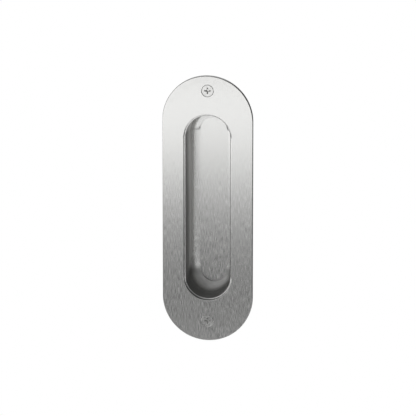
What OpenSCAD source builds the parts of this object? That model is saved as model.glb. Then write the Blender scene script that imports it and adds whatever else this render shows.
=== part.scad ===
// Flush pull for a sliding door
// A flat cover plate with round ends holds a drawn cup behind its opening, and two countersunk
// screws fix it to the door.
// The origin lies on the plane of the door's surface, midway between the two screws.
// Seen on the door, +X is to the right and +Z is up, and the face of the plate looks towards -Y.

/* [Face plate] */
// Width of the plate
plate_w = 61; // [48:0.5:80]
// Length of the plate over its round ends
plate_h = 181.5; // [140:0.5:300]
// Thickness of the plate
plate_t = 3; // [2.8:0.1:5]
// Radius of the broken edge round the face and round the opening
plate_edge = 0.3; // [0.1:0.05:0.8]

/* [Opening] */
// Width of the opening in the plate
opening_w = 32.4; // [26:0.2:40]
// Distance from the upper end of the plate to the upper end of the opening
upper_margin = 26.1; // [22:0.1:40]
// Distance from the lower end of the plate to the lower end of the opening
lower_margin = 27.8; // [25:0.1:40]

/* [Cup] */
// Depth of the cup from the door's surface to its floor
cup_depth = 21.5; // [8:0.5:30]
// Thickness of the sheet that the cup is drawn from
sheet_t = 0.8; // [0.6:0.1:0.9]
// Width of the flange past the edge of the opening
flange_w = 3; // [2:0.25:5]
// Clearance round the flange in the seat on the back of the plate
flange_gap = 0.1; // [0.05:0.05:0.3]
// Flat rim of the flange that shows inside the opening
cup_ledge = 0.2; // [0:0.1:1]
// Outer radius of the bend between flange and wall
bend_radius = 1; // [0.9:0.1:3]
// Inner radius between wall and floor
floor_radius = 6.5; // [2:0.5:9]

/* [Screws] */
// Distance from the upper end of the plate to the upper screw
upper_inset = 10; // [7:0.1:13]
// Distance from the lower end of the plate to the lower screw
lower_inset = 13.5; // [7:0.1:15]
// Length of a screw from the top of its head to its point
screw_l = 20; // [14:1:40]
// Diameter of the thread over its crests
thread_d = 4; // [3.4:0.1:4.2]
// Diameter of the neck between head and thread
neck_d = 3; // [2.6:0.1:3.2]
// Length of the taper from the neck to the crests of the thread
run_in = 0.25; // [0.1:0.05:0.5]
// Length of the point
point_l = 3.5; // [2:0.5:6]
// Diameter of the head
head_d = 7.8; // [6.4:0.1:8.6]
// Angle of the cone under the head
head_angle = 90; // [86:1:100]
// Height of the straight rim of the head
head_land = 0.15; // [0.1:0.05:0.3]
// How deep the top of the head lies below the face of the plate
head_set = 0.1; // [0:0.05:0.3]
// Clearance round the head in its countersink
head_gap = 0.1; // [0.05:0.05:0.2]
// Diameter of the screw holes in the plate
hole_d = 4.5; // [4.5:0.1:5.5]

/* [Cross recess] */
// Span of the cross at the top of the head
drive_span = 4.4; // [3.6:0.1:5]
// Width of each arm of the cross
drive_wing = 1; // [0.7:0.1:1.3]
// Diameter of the round middle of the cross
drive_core = 2; // [1.4:0.1:2.4]
// Depth of the cross
drive_depth = 2.2; // [1.4:0.1:2.4]
// Span of the cross at its bottom
drive_tip = 1.4; // [1:0.1:1.8]

/* [Hidden] */
$fn = 96;

// Overshoot of cutting shapes past the faces that they cut
past = 1;

// Distance between the two screws, and length of the opening over its round ends
screw_spacing = plate_h - upper_inset - lower_inset;
opening_h = plate_h - upper_margin - lower_margin;

// Straight runs between the round ends
plate_run = plate_h - plate_w;
opening_run = opening_h - opening_w;

// Heights of the middles of plate and opening above the middle of the screws
plate_mid = (upper_inset - lower_inset) / 2;
opening_mid = plate_mid + (lower_margin - upper_margin) / 2;

// Cup section, as distances from its centre line and heights above the door's surface
opening_half = opening_w / 2;
flange_half = opening_half + flange_w;
bend_centre = opening_half - cup_ledge;
wall_half = bend_centre - bend_radius;
rear_bend = bend_radius - sheet_t;
floor_bend = min(floor_radius, cup_depth + sheet_t - bend_radius, wall_half);

// Screw section, as heights above the door's surface
head_top = plate_t - head_set;
cone_top = head_top - head_land;
cone_slope = tan(head_angle / 2);
cone_bottom = cone_top - (head_d - neck_d) / 2 / cone_slope;
thread_top = min(0, cone_bottom - run_in);
point_tip = head_top - screw_l;
sink_half = head_d / 2 + head_gap + (plate_t - cone_top) * cone_slope;
sink_depth = (sink_half - hole_d / 2) / cone_slope;

// A half section swept along a straight run with round ends: x is the distance from the
// centre line of the run and y is the height above the door's surface.
module stadium_sweep(run) {
    for (turn = [0, 180])
        rotate([0, 0, turn])
            translate([0, run / 2, 0])
                rotate_extrude(angle = 180)
                    children();
    rotate([90, 0, 0])
        linear_extrude(run, center = true) {
            children();
            mirror([1, 0])
                children();
        }
}

// Half section of a slab whose upper rim is rounded
module slab_section(half, thick, edge) {
    square([half - edge, thick]);
    square([half, thick - edge]);
    translate([half - edge, thick - edge])
        circle(edge);
}

// Half section of a cut whose mouth at height top is eased by a convex rim
module eased_cut_section(half, top, edge) {
    translate([0, -past])
        square([half, top + 2 * past]);
    difference() {
        translate([half - past, top - edge])
            square([past + edge, edge + past]);
        translate([half + edge, top - edge])
            circle(edge);
    }
}

// Half section of the seat for the cup's flange, sunk into the back of the plate
module seat_section() {
    translate([0, -past])
        square([flange_half + flange_gap, past + sheet_t]);
}

// Half section of a tub with a rounded foot, open at the height top
module tub_section(half, floor_z, foot, top) {
    translate([0, floor_z])
        square([half - foot, foot]);
    translate([0, floor_z + foot])
        square([half, top - floor_z - foot]);
    intersection() {
        translate([half - foot, floor_z + foot])
            circle(foot);
        translate([0, floor_z])
            square([half, foot]);
    }
}

// Half section of the drawn sheet: flange, bend, wall, foot and floor
module cup_section() {
    difference() {
        union() {
            square([flange_half, sheet_t]);
            tub_section(wall_half + sheet_t, -cup_depth - sheet_t, floor_bend + sheet_t, sheet_t / 2);
            difference() {
                translate([wall_half, -rear_bend])
                    square([sheet_t + rear_bend, rear_bend + sheet_t / 2]);
                translate([wall_half + sheet_t + rear_bend, -rear_bend])
                    circle(rear_bend);
            }
        }
        tub_section(wall_half, -cup_depth, floor_bend, sheet_t + past);
        difference() {
            translate([wall_half - past, sheet_t - bend_radius])
                square([past + bend_radius, bend_radius + past]);
            translate([bend_centre, sheet_t - bend_radius])
                circle(bend_radius);
        }
    }
}

// Hole for one screw, with a countersink that follows the cone of the head
module screw_hole() {
    translate([0, 0, -past])
        cylinder(h = plate_t + 2 * past, d = hole_d);
    translate([0, 0, plate_t - sink_depth])
        cylinder(h = sink_depth, r1 = hole_d / 2, r2 = sink_half);
    translate([0, 0, plate_t])
        cylinder(h = past, r = sink_half);
}

// Cross recess for the driver: two tapered arms round a tapered middle
module cross_recess() {
    flare = (drive_span - drive_tip) / 2 / drive_depth;
    intersection() {
        translate([0, 0, -drive_depth])
            cylinder(h = drive_depth + past, r1 = drive_tip / 2, r2 = drive_span / 2 + past * flare);
        for (turn = [0, 90])
            rotate([0, 0, turn])
                translate([0, 0, past / 2 - drive_depth / 2])
                    cube([drive_span + 2 * past, drive_wing, drive_depth + past], center = true);
    }
    translate([0, 0, -drive_depth])
        cylinder(h = drive_depth, r1 = drive_tip / 2, r2 = drive_core / 2);
}

// Countersunk wood screw, its axis on Z and its point downwards
module screw() {
    difference() {
        rotate_extrude()
            polygon([
                [0, head_top],
                [head_d / 2, head_top],
                [head_d / 2, cone_top],
                [neck_d / 2, cone_bottom],
                [neck_d / 2, thread_top + run_in],
                [thread_d / 2, thread_top],
                [thread_d / 2, point_tip + point_l],
                [0, point_tip]
            ]);
        translate([0, 0, head_top])
            cross_recess();
    }
}

// Stands a shape that was built lying on its back up against the door
module on_door(height) {
    translate([0, 0, height])
        rotate([90, 0, 0])
            children();
}

module face_plate() {
    color([0.79, 0.79, 0.78])
        difference() {
            on_door(plate_mid)
                stadium_sweep(plate_run)
                    slab_section(plate_w / 2, plate_t, plate_edge);
            on_door(opening_mid) {
                stadium_sweep(opening_run)
                    eased_cut_section(opening_half, plate_t, plate_edge);
                stadium_sweep(opening_run)
                    seat_section();
            }
            for (side = [-1, 1])
                on_door(side * screw_spacing / 2)
                    screw_hole();
        }
}

module recess_cup() {
    color([0.72, 0.72, 0.71])
        on_door(opening_mid)
            stadium_sweep(opening_run)
                cup_section();
}

module upper_screw() {
    color([0.82, 0.82, 0.81])
        on_door(screw_spacing / 2)
            screw();
}

module lower_screw() {
    color([0.82, 0.82, 0.81])
        on_door(-screw_spacing / 2)
            screw();
}

face_plate();
recess_cup();
upper_screw();
lower_screw();
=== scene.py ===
import math

import bmesh
import bpy
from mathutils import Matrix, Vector


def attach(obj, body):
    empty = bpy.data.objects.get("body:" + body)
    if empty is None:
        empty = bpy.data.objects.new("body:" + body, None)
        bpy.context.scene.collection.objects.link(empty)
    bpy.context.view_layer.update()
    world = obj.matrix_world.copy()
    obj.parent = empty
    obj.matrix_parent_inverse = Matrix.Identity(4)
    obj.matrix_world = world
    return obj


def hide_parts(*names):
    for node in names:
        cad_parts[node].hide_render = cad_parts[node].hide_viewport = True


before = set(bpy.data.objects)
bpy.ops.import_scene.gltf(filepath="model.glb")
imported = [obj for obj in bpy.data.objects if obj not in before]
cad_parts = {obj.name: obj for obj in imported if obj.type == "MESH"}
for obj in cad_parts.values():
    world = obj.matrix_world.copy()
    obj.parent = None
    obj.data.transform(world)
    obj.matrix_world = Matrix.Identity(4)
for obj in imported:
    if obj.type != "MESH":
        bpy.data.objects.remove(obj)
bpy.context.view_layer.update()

# Face plate
PLATE_W = 61.0
PLATE_H = 181.5
PLATE_T = 3.0
PLATE_EDGE = 0.3
BACK_EDGE = 0.15

# Opening
OPENING_W = 32.4
UPPER_MARGIN = 26.1
LOWER_MARGIN = 27.8

# Cup. An oval as wide as FLOOR_RADIUS and as high as FLOOR_RISE joins the wall to a slope of
# FLOOR_CREASE degrees, which ends at the flat floor.
CUP_DEPTH = 21.5
SHEET_T = 0.8
FLANGE_W = 3.0
FLANGE_GAP = 0.1
CUP_LEDGE = 0.2
BEND_RADIUS = 1.0
FLOOR_RADIUS = 6.5
FLOOR_RISE = 5.0
FLOOR_CREASE = 9.0

# Screws
UPPER_INSET = 10.0
LOWER_INSET = 13.5
HEAD_D = 7.8
HEAD_LAND = 0.15
HEAD_SET = 0.1
HEAD_GAP = 0.1
HOLE_D = 4.5
NECK_D = 3.0
RUN_IN = 0.25
SCREW_L = 20.0

# Thread. It grows over THREAD_FADE, RIDGE_SHARE is the half width of its ridge as a share of
# the pitch, and a POINT_CURVE below 1 makes the point fuller than a cone. LEAST_RADIUS keeps
# the normals at the very tip sound.
THREAD_D = 4.0
ROOT_D = 2.9
THREAD_PITCH = 1.8
THREAD_FADE = 1.2
RIDGE_SHARE = 0.22
POINT_L = 3.5
POINT_CURVE = 0.8
LEAST_RADIUS = 0.2

# Cross recess. DRIVE_TAPER narrows its arms towards the bottom, and WING_CORNER and WING_FLAT
# break the corners at their ends.
DRIVE_SPAN = 4.4
DRIVE_WING = 1.0
DRIVE_CORE = 2.0
DRIVE_DEPTH = 2.2
DRIVE_TIP = 1.4
DRIVE_TAPER = 0.7
WING_CORNER = 0.12
WING_FLAT = 0.6

# Places that follow from the sizes
SCREW_SPACING = PLATE_H - UPPER_INSET - LOWER_INSET
OPENING_H = PLATE_H - UPPER_MARGIN - LOWER_MARGIN
PLATE_MID = (UPPER_INSET - LOWER_INSET) / 2
OPENING_MID = PLATE_MID + (LOWER_MARGIN - UPPER_MARGIN) / 2
OPENING_HALF = OPENING_W / 2
FLANGE_HALF = OPENING_HALF + FLANGE_W
BEND_CENTRE = OPENING_HALF - CUP_LEDGE
WALL_HALF = BEND_CENTRE - BEND_RADIUS
REAR_BEND = BEND_RADIUS - SHEET_T
HEAD_HALF = HEAD_D / 2
HEAD_TOP = PLATE_T - HEAD_SET
CONE_TOP = HEAD_TOP - HEAD_LAND
CONE_BOTTOM = CONE_TOP - (HEAD_D - NECK_D) / 2
POINT_TIP = HEAD_TOP - SCREW_L
SINK_HALF = HEAD_D / 2 + HEAD_GAP + PLATE_T - CONE_TOP
SINK_DEPTH = SINK_HALF - HOLE_D / 2

# Steps of the meshes
ARC_STEPS = 96
RUN_STEPS = 24
HOLE_STEPS = 96
EDGE_STEPS = 6
BACK_EDGE_STEPS = 3
BEND_STEPS = 10
WALL_STEPS = 12
CURVE_STEPS = 24
OUTER_STEPS = 20
HEAD_EDGE_STEPS = 5
CORE_STEPS = 4
ROWS_PER_TURN = 16
THREAD_ROWS = int((RUN_IN - POINT_TIP) / THREAD_PITCH * ROWS_PER_TURN)

# Brushing map: the radii at which the length along a path and round a hole is counted, the
# length of a turn of thread, and the width of a row of its mesh
PATH_BRUSH = 16
HOLE_BRUSH = 2
THREAD_BRUSH = 12
ROW_BRUSH = 0.1

# Painted shade on the plate: how little a cut face looks to the front, and how far from the middle
# the edge round the outside begins. NEAR and SLIGHT are tolerances for places and normals.
CUT_FACING = 0.3
OUTSIDE_X = 20
OUTSIDE_Z = 75
NEAR = 0.01
SLIGHT = 0.0001

# Finish inside the cup. Its left side is matt and has painted shade between two angles in degrees,
# counted round the opening from the right over the top, and the side fades in from either one, up to
# or after the middle turn. The painted shade sets in at a reach above the floor that swings along the
# handle.
MATT_SHADE_FROM = 115
MATT_SHADE_TO = 340
MATT_SHADE_TURN = 220
MATT_SHADE_FADE = 65
SHADE_REACH = 12.4
REACH_SWING = 2.5
SWING_MID = 15
SWING_SPREAD = 25
LIP_FADE = 0.5
MATT_RISE = 3.0
MATT_LEAST = 0.15

# Lower end of the cup: where its even finish begins and fades in, and how much shade is painted there
END_START = 2
END_FADE = 3
END_LEAST = 0.02
END_SIDE_SHADE = 0.75
END_CURVE = 1.5
END_RISE = 7
END_SHADE = 0.5
END_DEPTH = 7
END_BLEND = 5

# Steel: waves per metre across and along the brushing, what the streaks do to tone and
# roughness, and the relief that they leave
STEEL = (0.64, 0.64, 0.63)
STREAKS = (2500, 230, 1)
STREAK_DARK = 0.78
STREAK_LIGHT = 1.22
STREAK_ROUGH = 0.06
NOISE_LOW = 0.25
NOISE_HIGH = 0.75
RELIEF = 0.04
RELIEF_DEPTH = 0.0001

# Gloss as pairs of roughness and anisotropy, other finishes that shares of a mesh mix in, and
# what is left of the tone where shade is painted on a mesh
PLATE_GLOSS = (0.2, 1)
CUP_GLOSS = (0.14, 0.6)
SCREW_GLOSS = (0.13, 0)
MATT = ("matt", 0.35, 1)
EVEN = ("even", 0.45, 0)
PLATE_SHADE_TONE = 0.25
CUP_SHADE_TONE = 0.3

# Camera, in degrees, millimetres and pixels: the photo shows half of the plate's width as
# HALF_PIXELS, and the middle of its view is at CENTRE_X and CENTRE_Y
YAW = 10
PITCH = 13.5
DISTANCE = 2470
SENSOR = 36
FRAME = 416
HALF_PIXELS = 45.62
CENTRE_X = 207.395
CENTRE_Y = 209.32
CLIP_END = 20

# Pale floor, in metres, and the light of the world
FLOOR_LEVEL = -0.35
FLOOR_REACH = 0.6
FLOOR_STEPS = 96
FLOOR_COLOUR = (0.9, 0.9, 0.9, 1)
FLOOR_GLOW = 0.5
WHITE = (1, 1, 1, 1)
SOFT_LIGHT = 0.6

# Studio walls, which only reflections show. Each is graded by pairs of degrees and level, over
# the rise from the horizon and over the turn to the right from straight in front. The bright
# strip low in front is what the face of the plate mirrors.
STRIP_PEAK = 1.55
STRIP = [
    (-16.4, 0.17),
    (-15.2, 0.25),
    (-14.2, 0.34),
    (-13.25, 0.62),
    (-12.6, 0.97),
    (-11.8, 1.35),
    (-10.9, STRIP_PEAK),
    (-9, STRIP_PEAK),
    (-8.4, 0.25),
]
SLIM_STRIP = STRIP[:5] + [(-11.8, 1.35), (-11.2, 1.5), (-10, 1.4), (-9.4, 0.25)]
LEFT_MIDDLE = 0.65
LEFT_TURNS = [(-110, 0.15), (-95, 1), (-55, 1), (-32, LEFT_MIDDLE), (5, LEFT_MIDDLE)]
RIGHT_TURNS = [(5, 1), (50, 1), (90, 0.92), (110, 0.8), (125, 0.5)]
RIGHT_TILT = -1.2
DOME = [(-17.5, 0.17), (-16.4, 0.17), (-8, 0.32), (2, 0.44), (26, 0.45), (76, 0.45)]
DOME_TURNS = [(-110, 1), (-45, 0.9), (-10, 0.56), (10, 0.36), (30, 0.22), (60, 0.16), (125, 0.25)]
DOME_GAIN = 1.8
BELOW_PEAK = 1.1
BELOW = [(-89, BELOW_PEAK), (-19.8, BELOW_PEAK), (-18.8, 0.5), (-17.6, 0.17), (-17.4, 0.17)]
BELOW_TURNS = [(-125, 1), (5, 1)]
BELOW_RIGHT = [(-89, BELOW_PEAK), (-17.3, BELOW_PEAK), (-16, 0.28)]
BELOW_RIGHT_TURNS = [(5, 1), (125, 1)]
BEHIND = [(-34, 0.35), (24, 0.35)]
BEHIND_TURNS = [(125, 1), (178, 1)]
WALL_ROWS = 40
WALL_COLUMNS = 60

# Distance of the walls from the handle in metres; where two overlap, the nearer one shows
WALL_RADIUS = 3
LEFT_RADIUS = 2.95
RIGHT_RADIUS = 2.94
BELOW_RIGHT_RADIUS = 2.9


class Shell:
    """Faces in millimetres with a normal for each corner, welded where they share points."""

    def __init__(self):
        self.points = []
        self.index = {}
        self.faces = []
        self.normals = []
        self.brush = []

    def point(self, place):
        """The number of a point, which is the same for places that round to the same one."""
        key = tuple(round(value, 4) for value in place)
        if key not in self.index:
            self.index[key] = len(self.points)
            self.points.append(key)
        return self.index[key]

    def face(self, places, normals, brush):
        """Adds a face that looks the way of its normals, without corners that coincide."""
        corners = [self.point(place) for place in places]
        kept = [i for i in range(len(corners)) if corners[i] != corners[i - 1]]
        if len(kept) < 3:
            return
        flat = Vector((0, 0, 0))
        for i in range(len(places)):
            flat += Vector(places[i - 1]).cross(Vector(places[i]))
        wanted = sum((Vector(normal) for normal in normals), Vector((0, 0, 0)))
        if flat.dot(wanted) < 0:
            kept.reverse()
        self.faces.append([corners[i] for i in kept])
        self.normals += [normals[i] for i in kept]
        self.brush += [brush[i] for i in kept]

    def sweep(self, path, chain):
        """Carries a chain of (half, height, normal outwards, normal upwards) round a path."""
        rings = [path(*link) for link in chain]
        across = 0
        for low, high, ring_a, ring_b in zip(chain, chain[1:], rings, rings[1:]):
            further = across + math.dist(low[:2], high[:2])
            for i in range(len(ring_a) - 1):
                four = [ring_a[i], ring_a[i + 1], ring_b[i + 1], ring_b[i]]
                along = [ring_a[i][2], ring_a[i + 1][2], ring_a[i + 1][2], ring_a[i][2]]
                brush = list(zip((across, across, further, further), along))
                self.face([corner[0] for corner in four], [corner[1] for corner in four], brush)
            across = further

    def fill(self, rings, normal):
        """A flat face bounded by the first ring, with the other rings as holes."""
        sheet = bmesh.new()
        for ring in rings:
            corners = [sheet.verts.new(corner[0]) for corner in ring[:-1]]
            for i in range(len(corners)):
                sheet.edges.new((corners[i - 1], corners[i]))
        edges = sheet.edges[:]
        bmesh.ops.triangle_fill(sheet, use_beauty=True, use_dissolve=False, edges=edges, normal=normal)
        for face in sheet.faces:
            places = [tuple(corner.co) for corner in face.verts]
            self.face(places, [normal] * len(places), [(place[0], place[2]) for place in places])
        sheet.free()

    def build(self, name, material, finish):
        """Makes the object; finish gives the matt and even shares of a corner and its painted shade."""
        mesh = bpy.data.meshes.new(name)
        mesh.from_pydata([Vector(place) / 1000 for place in self.points], [], self.faces)
        mesh.polygons.foreach_set("use_smooth", [True] * len(mesh.polygons))
        mesh.normals_split_custom_set([Vector(normal).normalized() for normal in self.normals])
        brushing = mesh.uv_layers.new(name="brushing")
        brushing.data.foreach_set("uv", [value / 1000 for pair in self.brush for value in pair])
        corners = [self.points[corner] for face in self.faces for corner in face]
        shares = [finish(*pair) for pair in zip(corners, self.normals)]
        for label, values in zip(("matt", "even", "painted_shade"), zip(*shares)):
            mesh.attributes.new(label, "FLOAT", "CORNER").data.foreach_set("value", values)
        mesh.materials.append(material)
        piece = bpy.data.objects.new(name, mesh)
        bpy.context.scene.collection.objects.link(piece)
        return piece


def smooth(value):
    """An eased step from 0 to 1."""
    value = min(1, max(0, value))
    return value * value * (3 - 2 * value)


def stadium(run, mid):
    """A closed path with round ends: gives the ring of an offset, a height and a normal."""
    stations = []
    for side in (1, -1):
        for step in range(ARC_STEPS + 1):
            turn = math.pi * step / ARC_STEPS
            stations.append((side * run / 2, side * math.cos(turn), side * math.sin(turn)))
        for step in range(1, RUN_STEPS):
            stations.append((side * run * (0.5 - step / RUN_STEPS), -side, 0))
    stations.append(stations[0])
    traced = [(PATH_BRUSH * nx, base + PATH_BRUSH * nz) for base, nx, nz in stations]
    along = [0]
    for place, following in zip(traced, traced[1:]):
        along.append(along[-1] + math.dist(place, following))

    def ring(half, height, out, up):
        return [
            ((nx * half, -height, mid + base + nz * half), (nx * out, -up, nz * out), distance)
            for (base, nx, nz), distance in zip(stations, along)
        ]

    return ring


def circle(mid):
    """A round path about an axis along Y, used as a stadium path is."""

    def ring(half, height, out, up):
        places = []
        for step in range(HOLE_STEPS + 1):
            turn = 2 * math.pi * (step % HOLE_STEPS) / HOLE_STEPS
            place = (half * math.cos(turn), -height, mid + half * math.sin(turn))
            normal = (out * math.cos(turn), -up, out * math.sin(turn))
            places.append((place, normal, 2 * HOLE_BRUSH * math.pi * step / HOLE_STEPS))
        return places

    return ring


def bend(centre, radius, start, end, steps, sign=1):
    """A rounded stretch of a chain; sign is -1 where the surface is hollow."""
    links = []
    for step in range(steps + 1):
        turn = math.radians(start + (end - start) * step / steps)
        across = math.cos(turn)
        up = math.sin(turn)
        links.append((centre[0] + radius * across, centre[1] + radius * up, sign * across, sign * up))
    return links


def plate_finish(place, normal):
    """Painted shade on cut faces and on the edge round the outside, and plain in the countersinks."""
    facing = min(1, abs(normal[1]))
    if math.hypot(place[0], abs(place[2]) - SCREW_SPACING / 2) < SINK_HALF + NEAR:
        return 0.0, 0.0, 0.0
    if facing < CUT_FACING:
        return 0.0, 0.0, 1.0
    if abs(place[0]) > OUTSIDE_X or abs(place[2] - PLATE_MID) > OUTSIDE_Z:
        return 0.0, 0.0, 2 * facing * math.sqrt(1 - facing * facing)
    return 0.0, 0.0, 0.0


def make_plate(material):
    """The face plate with its opening, the seat for the cup and two countersunk holes."""
    shell = Shell()
    outline = stadium(PLATE_H - PLATE_W, PLATE_MID)
    opening = stadium(OPENING_H - OPENING_W, OPENING_MID)
    half = PLATE_W / 2
    rim = bend((half - BACK_EDGE, BACK_EDGE), BACK_EDGE, -90, 0, BACK_EDGE_STEPS)
    rim += bend((half - PLATE_EDGE, PLATE_T - PLATE_EDGE), PLATE_EDGE, 0, 90, EDGE_STEPS)
    shell.sweep(outline, rim)
    mouth_half = OPENING_HALF + PLATE_EDGE
    mouth = bend((mouth_half, PLATE_T - PLATE_EDGE), PLATE_EDGE, 90, 180, EDGE_STEPS)
    mouth.append((OPENING_HALF, SHEET_T, -1, 0))
    shell.sweep(opening, mouth)
    seat = FLANGE_HALF + FLANGE_GAP
    shell.sweep(opening, [(OPENING_HALF, SHEET_T, 0, -1), (seat, SHEET_T, 0, -1)])
    shell.sweep(opening, [(seat, SHEET_T, -1, 0), (seat, 0, -1, 0)])
    front = [outline(half - PLATE_EDGE, PLATE_T, 0, 1), opening(mouth_half, PLATE_T, 0, 1)]
    back = [outline(half - BACK_EDGE, 0, 0, -1), opening(seat, 0, 0, -1)]
    for side in (1, -1):
        hole = circle(side * SCREW_SPACING / 2)
        sink_end = PLATE_T - SINK_DEPTH
        shell.sweep(hole, [(SINK_HALF, PLATE_T, -1, 1), (HOLE_D / 2, sink_end, -1, 1)])
        shell.sweep(hole, [(HOLE_D / 2, sink_end, -1, 0), (HOLE_D / 2, 0, -1, 0)])
        front.append(hole(SINK_HALF, PLATE_T, 0, 1))
        back.append(hole(HOLE_D / 2, 0, 0, -1))
    shell.fill(front, (0, -1, 0))
    shell.fill(back, (0, 1, 0))
    return shell.build("plate", material, plate_finish)


def cup_finish(place, normal):
    """Inside the cup: matt off the floor, even round the lower end, and painted shade on the lower left
    and at the lower end.
    """
    half_run = (OPENING_H - OPENING_W) / 2
    height = place[2] - OPENING_MID
    beyond = height - max(-1, min(1, height / half_run)) * half_run
    outward = normal[0] * place[0] + normal[2] * beyond
    if normal[1] < SLIGHT - 1 or normal[1] > SLIGHT or outward > SLIGHT:
        return 0.0, 0.0, 0.0
    turn = math.degrees(math.atan2(beyond, place[0])) % 360
    side = smooth((turn - MATT_SHADE_FROM if turn < MATT_SHADE_TURN else MATT_SHADE_TO - turn) / MATT_SHADE_FADE)
    inner = smooth((place[1] + SHEET_T) / LIP_FADE)
    rise = max(0, CUP_DEPTH - place[1])
    matt = min(1, rise / MATT_RISE) * (MATT_LEAST + (1 - MATT_LEAST) * side)
    even = inner * smooth((END_START - height - half_run) / END_FADE)
    reach = SHADE_REACH + REACH_SWING * math.tanh((place[2] - SWING_MID) / SWING_SPREAD)
    # Painted shade on the left side, darker up the wall from the floor
    painted_shade = side * (1 - math.exp(-((rise / reach) ** 3)))
    # Painted shade at the lower end: it grows up the wall, more on the left, and a share lies over the
    # whole depth where the end meets the straight sides
    end_wall = even * (END_LEAST + END_SIDE_SHADE * side**END_CURVE) * (1 - math.exp(-rise / END_RISE))
    end_start = END_SHADE * even * smooth((height + half_run + END_DEPTH) / END_BLEND)
    return inner * matt, even, inner * painted_shade + (1 - painted_shade) * max(end_wall, end_start)


def make_cup(material):
    """The drawn cup: inside from flange to floor, then outside, and the edge of the flange."""
    shell = Shell()
    path = stadium(OPENING_H - OPENING_W, OPENING_MID)
    foot_half = WALL_HALF - FLOOR_RADIUS
    inside = [(FLANGE_HALF, SHEET_T, 0, 1)]
    inside += bend((BEND_CENTRE, SHEET_T - BEND_RADIUS), BEND_RADIUS, 90, 180, BEND_STEPS)
    wall_top = inside[-1][1]
    wall_foot = FLOOR_RISE - CUP_DEPTH
    for step in range(1, WALL_STEPS):
        inside.append((WALL_HALF, wall_top + (wall_foot - wall_top) * step / WALL_STEPS, -1, 0))
    crease = math.radians(FLOOR_CREASE)
    end = math.atan(math.tan(crease) * FLOOR_RADIUS / FLOOR_RISE)
    for step in range(CURVE_STEPS + 1):
        turn = math.pi / 2 + (end - math.pi / 2) * step / CURVE_STEPS
        half = foot_half + FLOOR_RADIUS * math.sin(turn)
        height = wall_foot - FLOOR_RISE * math.cos(turn)
        inside.append((half, height, -math.sin(turn) / FLOOR_RADIUS, math.cos(turn) / FLOOR_RISE))
    rim = inside[-1][0] - (inside[-1][1] + CUP_DEPTH) / math.tan(crease)
    inside.append((rim, -CUP_DEPTH, -math.sin(crease), math.cos(crease)))
    shell.sweep(path, inside)
    shell.fill([path(rim, -CUP_DEPTH, 0, 1)], (0, -1, 0))
    foot = (foot_half, FLOOR_RADIUS - CUP_DEPTH)
    rear = (WALL_HALF + SHEET_T + REAR_BEND, -REAR_BEND)
    outside = bend(foot, FLOOR_RADIUS + SHEET_T, -90, 0, OUTER_STEPS)
    outside += bend(rear, REAR_BEND, 180, 90, EDGE_STEPS, -1)
    outside.append((FLANGE_HALF, 0, 0, -1))
    shell.sweep(path, outside)
    shell.sweep(path, [(FLANGE_HALF, 0, 1, 0), (FLANGE_HALF, SHEET_T, 1, 0)])
    shell.fill([path(foot_half, -CUP_DEPTH - SHEET_T, 0, -1)], (0, 1, 0))
    return shell.build("cup", material, cup_finish)


def cross_outline(span, wing, core, height, mid):
    """The outline of a cross recess at one height, as a ring for fills and strips."""
    tip = span / 2
    half_wing = wing / 2
    radius = core / 2
    lean = math.asin(min(1, half_wing / radius))
    arm = [(tip - WING_CORNER, -half_wing), (tip, -half_wing * WING_FLAT)]
    arm += [(tip, half_wing * WING_FLAT), (tip - WING_CORNER, half_wing)]
    for step in range(CORE_STEPS + 1):
        angle = lean + (math.pi / 2 - 2 * lean) * step / CORE_STEPS
        arm.append((radius * math.cos(angle), radius * math.sin(angle)))
    corners = []
    for quarter in range(4):
        turn = quarter * math.pi / 2
        for across, up in arm:
            x = across * math.cos(turn) - up * math.sin(turn)
            z = across * math.sin(turn) + up * math.cos(turn)
            corners.append(((x, -height, mid + z), (0, -1, 0), 0))
    corners.append(corners[0])
    return corners


def add_recess(shell, top, mid):
    """The walls and the bottom of a cross recess, whose outline at the top is a ring."""
    low = cross_outline(DRIVE_TIP, DRIVE_WING * DRIVE_TAPER, DRIVE_TIP, HEAD_TOP - DRIVE_DEPTH, mid)
    centre = Vector((0, -(HEAD_TOP - DRIVE_DEPTH), mid))
    for i in range(len(top) - 1):
        four = [top[i][0], top[i + 1][0], low[i + 1][0], low[i][0]]
        first = Vector(four[0])
        normal = (Vector(four[1]) - first).cross(Vector(four[3]) - first).normalized()
        if normal.dot(centre - first) < 0:
            normal = -normal
        shell.face(four, [tuple(normal)] * 4, [(0, 0), (1, 0), (1, 2), (0, 2)])
        bottom = [low[i][0], low[i + 1][0], tuple(centre)]
        shell.face(bottom, [(0, -1, 0)] * 3, [(0, 0), (1, 0), (0, 1)])


def thread_height(row):
    """The height of a row of the thread's mesh."""
    return RUN_IN + (POINT_TIP - RUN_IN) * row / THREAD_ROWS


def thread_radius(row, step):
    """The radius of the thread or its point at a row and a step of its mesh."""
    height = thread_height(row)
    taper = min(1, max(0, (height - POINT_TIP) / POINT_L)) ** POINT_CURVE
    start = smooth((RUN_IN - height) / THREAD_FADE)
    core = NECK_D / 2 + (ROOT_D - NECK_D) / 2 * start
    phase = (height / THREAD_PITCH + step / HOLE_STEPS) % 1
    ridge = max(0, 1 - abs(phase - 0.5) / RIDGE_SHARE) * start
    return taper * (core + (THREAD_D / 2 - core) * ridge)


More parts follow.
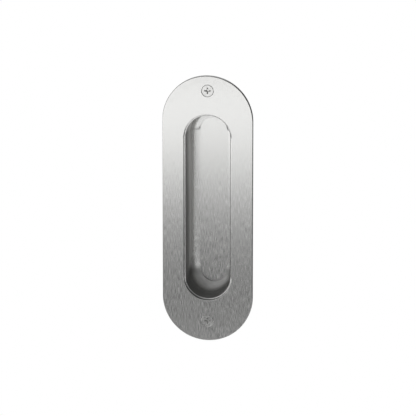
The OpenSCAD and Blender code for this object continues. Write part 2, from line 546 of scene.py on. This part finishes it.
def thread_corner(row, step, mid):
    """The place, the normal and the brushing of a corner of the thread's mesh."""
    here = step % HOLE_STEPS
    turn = 2 * math.pi * here / HOLE_STEPS
    radius = thread_radius(row, here)
    above = thread_radius(max(row - 1, 0), here)
    under = thread_radius(min(row + 1, THREAD_ROWS), here)
    ahead = thread_radius(row, (step + 1) % HOLE_STEPS)
    behind = thread_radius(row, (step - 1) % HOLE_STEPS)
    slope = (above - under) / 2 / ((RUN_IN - POINT_TIP) / THREAD_ROWS)
    twist = (ahead - behind) / 2 / (2 * math.pi * max(radius, LEAST_RADIUS) / HOLE_STEPS)
    out = Vector((math.cos(turn), 0, math.sin(turn)))
    aside = Vector((-math.sin(turn), 0, math.cos(turn)))
    normal = out + Vector((0, 1, 0)) * slope - aside * twist
    place = (radius * math.cos(turn), -thread_height(row), mid + radius * math.sin(turn))
    return place, tuple(normal.normalized()), THREAD_BRUSH * step / HOLE_STEPS


def add_thread(shell, mid):
    """The thread and the point of a screw."""
    rings = []
    for row in range(THREAD_ROWS + 1):
        rings.append([thread_corner(row, step, mid) for step in range(HOLE_STEPS + 1)])
    for row in range(THREAD_ROWS):
        near = row * ROW_BRUSH
        far = row * ROW_BRUSH + ROW_BRUSH
        for i in range(HOLE_STEPS):
            four = [rings[row][i], rings[row][i + 1], rings[row + 1][i + 1], rings[row + 1][i]]
            brush = list(zip((near, near, far, far), [corner[2] for corner in four]))
            shell.face([corner[0] for corner in four], [corner[1] for corner in four], brush)


def make_screw(name, mid, material):
    """A countersunk wood screw with a cross recess and a cut thread."""
    shell = Shell()
    path = circle(mid)
    top = cross_outline(DRIVE_SPAN, DRIVE_WING, DRIVE_CORE, HEAD_TOP, mid)
    shell.fill([path(HEAD_HALF - HEAD_LAND, HEAD_TOP, 0, 1), top], (0, -1, 0))
    add_recess(shell, top, mid)
    side = bend((HEAD_HALF - HEAD_LAND, HEAD_TOP - HEAD_LAND), HEAD_LAND, 90, 0, HEAD_EDGE_STEPS)
    side.append((HEAD_HALF, CONE_TOP, 1, 0))
    shell.sweep(path, side)
    shell.sweep(path, [(HEAD_HALF, CONE_TOP, 1, -1), (NECK_D / 2, CONE_BOTTOM, 1, -1)])
    shell.sweep(path, [(NECK_D / 2, CONE_BOTTOM, 1, 0), (NECK_D / 2, RUN_IN, 1, 0)])
    add_thread(shell, mid)

    def finish(place, normal):
        """Even on the rounded edge of the head."""
        outer = math.hypot(place[0], place[2] - mid) > HEAD_HALF - HEAD_LAND - NEAR
        return 0.0, 1.0 if outer and abs(normal[1]) < 1 - SLIGHT else 0.0, 0.0

    return shell.build(name, material, finish)


def add_node(tree, kind, inputs, **settings):
    """A new node with its settings; its inputs are set to values or linked to outputs."""
    node = tree.nodes.new(kind)
    for name, value in settings.items():
        setattr(node, name, value)
    for name, value in inputs.items():
        if isinstance(value, bpy.types.NodeSocket):
            tree.links.new(value, node.inputs[name])
        else:
            node.inputs[name].default_value = value
    return node


def calculated(tree, operation, *values):
    """The result of a math node."""
    return add_node(tree, "ShaderNodeMath", dict(enumerate(values)), operation=operation).outputs["Value"]


def node_material(name):
    """A material whose node tree is still empty."""
    material = bpy.data.materials.new(name)
    material.use_nodes = True
    material.node_tree.nodes.clear()
    return material


def share_of(tree, label):
    """One of the shares that the finish of a mesh gives its corners."""
    return add_node(tree, "ShaderNodeAttribute", {}, attribute_name=label).outputs["Fac"]


def mixed(tree, value, layers):
    """A value that shares of the mesh turn into others, from pairs of a share's label and a value."""
    for label, other in layers:
        inputs = {"Factor": share_of(tree, label), "A": value, "B": other}
        value = add_node(tree, "ShaderNodeMix", inputs).outputs["Result"]
    return value


def toned(tone, factor):
    """A tone made darker or lighter, as a colour."""
    return tuple(min(1, value * factor) for value in tone) + (1,)


def brushed_steel(name, gloss, others=(), shade_tone=1):
    """Stainless steel with streaks along its brushing, in tone, roughness and relief.

    Gloss is a pair of roughness and anisotropy. Others are the label of a share of the mesh with
    the roughness and anisotropy that it mixes in. Painted shade leaves a place the last
    argument's share of its tone."""
    material = node_material(name)
    tree = material.node_tree
    where = add_node(tree, "ShaderNodeUVMap", {}, uv_map="brushing")
    stretch = add_node(tree, "ShaderNodeMapping", {"Vector": where.outputs["UV"], "Scale": STREAKS})
    waves = {"Vector": stretch.outputs["Vector"], "Scale": 1, "Detail": 2, "Roughness": 0.5}
    streaks = add_node(tree, "ShaderNodeTexNoise", waves).outputs["Fac"]
    tones = {"Factor": streaks, "A": toned(STEEL, STREAK_DARK), "B": toned(STEEL, STREAK_LIGHT)}
    streaked = add_node(tree, "ShaderNodeMix", tones, data_type="RGBA").outputs["Result"]
    # Painted shade: where the mesh asks for it, the tone is darkened towards a fixed share of the steel's
    tones = {"Factor": share_of(tree, "painted_shade"), "A": streaked, "B": toned(STEEL, shade_tone)}
    colour = add_node(tree, "ShaderNodeMix", tones, data_type="RGBA").outputs["Result"]
    spread = {
        "Value": streaks,
        "From Min": NOISE_LOW,
        "From Max": NOISE_HIGH,
        "To Min": gloss[0] - STREAK_ROUGH,
        "To Max": gloss[0] + STREAK_ROUGH,
    }
    rough = add_node(tree, "ShaderNodeMapRange", spread).outputs["Result"]
    grain = gloss[1]
    if any(anisotropy != grain for label, roughness, anisotropy in others):
        grain = mixed(tree, grain, [(label, anisotropy) for label, roughness, anisotropy in others])
    relief = {"Strength": RELIEF, "Distance": RELIEF_DEPTH, "Height": streaks}
    across = add_node(tree, "ShaderNodeTangent", {}, direction_type="UV_MAP", uv_map="brushing")
    surface = {
        "Metallic": 1,
        "Base Color": colour,
        "Roughness": mixed(tree, rough, [(label, roughness) for label, roughness, anisotropy in others]),
        "Anisotropic": grain,
        "Tangent": across.outputs["Tangent"],
        "Normal": add_node(tree, "ShaderNodeBump", relief).outputs["Normal"],
    }
    shader = add_node(tree, "ShaderNodeBsdfPrincipled", surface)
    add_node(tree, "ShaderNodeOutputMaterial", {"Surface": shader.outputs["BSDF"]})
    return material


def make_camera():
    """A long lens at the photo's angle, aimed at the middle of the plate's face."""
    yaw = math.radians(YAW)
    pitch = math.radians(PITCH)
    aim = Vector((0, -PLATE_T / 1000, PLATE_MID / 1000))
    look = Vector((math.sin(yaw) * math.cos(pitch), -math.cos(yaw) * math.cos(pitch), math.sin(pitch)))
    lens = bpy.data.cameras.new("camera")
    lens.sensor_fit = "HORIZONTAL"
    lens.sensor_width = SENSOR
    lens.lens = HALF_PIXELS / (PLATE_W / 2) * DISTANCE / FRAME * SENSOR
    lens.shift_x = (FRAME / 2 - CENTRE_X) / FRAME
    lens.shift_y = (CENTRE_Y - FRAME / 2) / FRAME
    lens.clip_end = CLIP_END
    camera = bpy.data.objects.new("camera", lens)
    camera.location = aim + DISTANCE / 1000 * look
    camera.rotation_euler = look.to_track_quat("Z", "Y").to_euler()
    bpy.context.scene.collection.objects.link(camera)
    bpy.context.scene.camera = camera


def seen_or_mirrored(tree):
    """1 for what camera, metal or glass sees, and 0 for the light that falls on things."""
    ray = add_node(tree, "ShaderNodeLightPath", {}).outputs
    seen = calculated(tree, "MAXIMUM", ray["Is Camera Ray"], ray["Is Glossy Ray"])
    return calculated(tree, "MAXIMUM", seen, ray["Is Transmission Ray"])


def make_world():
    """White where the camera, metal or glass sees it, and a soft grey light elsewhere."""
    world = bpy.data.worlds.new("studio")
    world.use_nodes = True
    tree = world.node_tree
    tree.nodes.clear()
    soft = add_node(tree, "ShaderNodeBackground", {"Color": WHITE, "Strength": SOFT_LIGHT})
    white = add_node(tree, "ShaderNodeBackground", {"Color": WHITE, "Strength": 1})
    parts = {"Fac": seen_or_mirrored(tree), 1: soft.outputs["Background"], 2: white.outputs["Background"]}
    mix = add_node(tree, "ShaderNodeMixShader", parts)
    add_node(tree, "ShaderNodeOutputWorld", {"Surface": mix.outputs["Shader"]})
    bpy.context.scene.world = world


def add_stage(name, points, faces, material):
    """A piece of the stage, which isn't part of the handle."""
    mesh = bpy.data.meshes.new(name)
    mesh.from_pydata(points, [], faces)
    mesh.materials.append(material)
    piece = bpy.data.objects.new(name, mesh)
    bpy.context.scene.collection.objects.link(piece)
    return piece


def floor_material():
    """Pale and matt, with a glow towards camera, metal and glass that keeps it white."""
    material = node_material("floor")
    tree = material.node_tree
    matt = add_node(tree, "ShaderNodeBsdfDiffuse", {"Color": FLOOR_COLOUR})
    level = calculated(tree, "MULTIPLY", seen_or_mirrored(tree), FLOOR_GLOW)
    glow = add_node(tree, "ShaderNodeEmission", {"Strength": level})
    parts = {0: matt.outputs["BSDF"], 1: glow.outputs["Emission"]}
    both = add_node(tree, "ShaderNodeAddShader", parts)
    add_node(tree, "ShaderNodeOutputMaterial", {"Surface": both.outputs["Shader"]})
    return material


def make_floor():
    """A round pale floor well below the handle."""
    points = [(0, 0, FLOOR_LEVEL)]
    for step in range(FLOOR_STEPS):
        turn = math.radians(step * 360 / FLOOR_STEPS)
        points.append((FLOOR_REACH * math.cos(turn), FLOOR_REACH * math.sin(turn), FLOOR_LEVEL))
    faces = [(0, 1 + step, 1 + (step + 1) % FLOOR_STEPS) for step in range(FLOOR_STEPS)]
    add_stage("floor", points, faces, floor_material())


def graded(tree, angle, stops):
    """The level at an angle in degrees, from stops of (degrees, level)."""
    low = stops[0][0]
    high = stops[-1][0]
    spread = add_node(tree, "ShaderNodeMapRange", {"Value": angle, "From Min": low, "From Max": high})
    ramp = add_node(tree, "ShaderNodeValToRGB", {"Fac": spread.outputs["Result"]})
    elements = ramp.color_ramp.elements
    while len(elements) > 1:
        elements.remove(elements[-1])
    for number, (place, level) in enumerate(stops):
        spot = (place - low) / (high - low)
        element = elements[0] if number == 0 else elements.new(spot)
        element.position = spot
        element.color = (level, level, level, 1)
    return ramp.outputs["Color"]


def wall_material(name, rises, turns, strength):
    """A glow graded over elevation and azimuth about the origin of the wall."""
    material = node_material(name)
    tree = material.node_tree
    place = add_node(tree, "ShaderNodeTexCoord", {}).outputs["Object"]
    parts = add_node(tree, "ShaderNodeSeparateXYZ", {"Vector": place}).outputs
    forward = calculated(tree, "MULTIPLY", parts["Y"], -1)
    turn = calculated(tree, "DEGREES", calculated(tree, "ARCTAN2", parts["X"], forward))
    flat = add_node(tree, "ShaderNodeVectorMath", {0: place, 1: (1, 1, 0)}, operation="MULTIPLY")
    reach = add_node(tree, "ShaderNodeVectorMath", {0: flat.outputs["Vector"]}, operation="LENGTH")
    rise = calculated(tree, "DEGREES", calculated(tree, "ARCTAN2", parts["Z"], reach.outputs["Value"]))
    levels = {"Factor": 1, "A": graded(tree, rise, rises), "B": graded(tree, turn, turns)}
    both = add_node(tree, "ShaderNodeMix", levels, data_type="RGBA", blend_type="MULTIPLY")
    glow = add_node(tree, "ShaderNodeEmission", {"Color": both.outputs["Result"], "Strength": strength})
    add_node(tree, "ShaderNodeOutputMaterial", {"Surface": glow.outputs["Emission"]})
    return material


def make_wall(name, radius, rises, turns, strength, tilt=0):
    """A studio wall, part of a sphere about the origin, that only reflections show."""
    points = []
    for row in range(WALL_ROWS + 1):
        rise = math.radians(rises[0][0] + (rises[-1][0] - rises[0][0]) * row / WALL_ROWS)
        flat = radius * math.cos(rise)
        for column in range(WALL_COLUMNS + 1):
            turn = math.radians(turns[0][0] + (turns[-1][0] - turns[0][0]) * column / WALL_COLUMNS)
            points.append((flat * math.sin(turn), -flat * math.cos(turn), radius * math.sin(rise)))
    faces = []
    for row in range(WALL_ROWS):
        for column in range(WALL_COLUMNS):
            corner = row * (WALL_COLUMNS + 1) + column
            above = corner + WALL_COLUMNS + 1
            faces.append((corner, corner + 1, above + 1, above))
    piece = add_stage(name, points, faces, wall_material(name, rises, turns, strength))
    piece.rotation_euler = (0, math.radians(tilt), 0)
    piece.visible_camera = False
    piece.visible_diffuse = False
    piece.visible_shadow = False


def as_shares(stops, peak):
    """Stops with their levels as shares of a peak, since a colour ramp runs up to 1."""
    return [(place, level / peak) for place, level in stops]


make_world()
make_floor()
make_camera()

steel_plate = brushed_steel("plate_steel", PLATE_GLOSS, shade_tone=PLATE_SHADE_TONE)
steel_cup = brushed_steel("cup_steel", CUP_GLOSS, [MATT, EVEN], CUP_SHADE_TONE)
steel_screw = brushed_steel("screw_steel", SCREW_GLOSS, [EVEN])

plate = make_plate(steel_plate)
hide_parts("face_plate")
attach(plate, "root")
cup = make_cup(steel_cup)
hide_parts("recess_cup")
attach(cup, "root")
for name, side in (("upper_screw", 1), ("lower_screw", -1)):
    fixing = make_screw(name + "_steel", side * SCREW_SPACING / 2, steel_screw)
    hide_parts(name)
    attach(fixing, "root")

strip = as_shares(STRIP, STRIP_PEAK)
slim_strip = as_shares(SLIM_STRIP, STRIP_PEAK)
below = as_shares(BELOW, BELOW_PEAK)
below_right = as_shares(BELOW_RIGHT, BELOW_PEAK)
make_wall("studio_left", LEFT_RADIUS, strip, LEFT_TURNS, STRIP_PEAK / LEFT_MIDDLE)
make_wall("studio_right", RIGHT_RADIUS, slim_strip, RIGHT_TURNS, STRIP_PEAK, RIGHT_TILT)
make_wall("studio_dome", WALL_RADIUS, DOME, DOME_TURNS, DOME_GAIN)
make_wall("studio_floor", WALL_RADIUS, below, BELOW_TURNS, BELOW_PEAK)
make_wall("right_floor", BELOW_RIGHT_RADIUS, below_right, BELOW_RIGHT_TURNS, BELOW_PEAK)
make_wall("studio_back", WALL_RADIUS, BEHIND, BEHIND_TURNS, 1)

scene = bpy.context.scene
scene.view_settings.view_transform = "Standard"
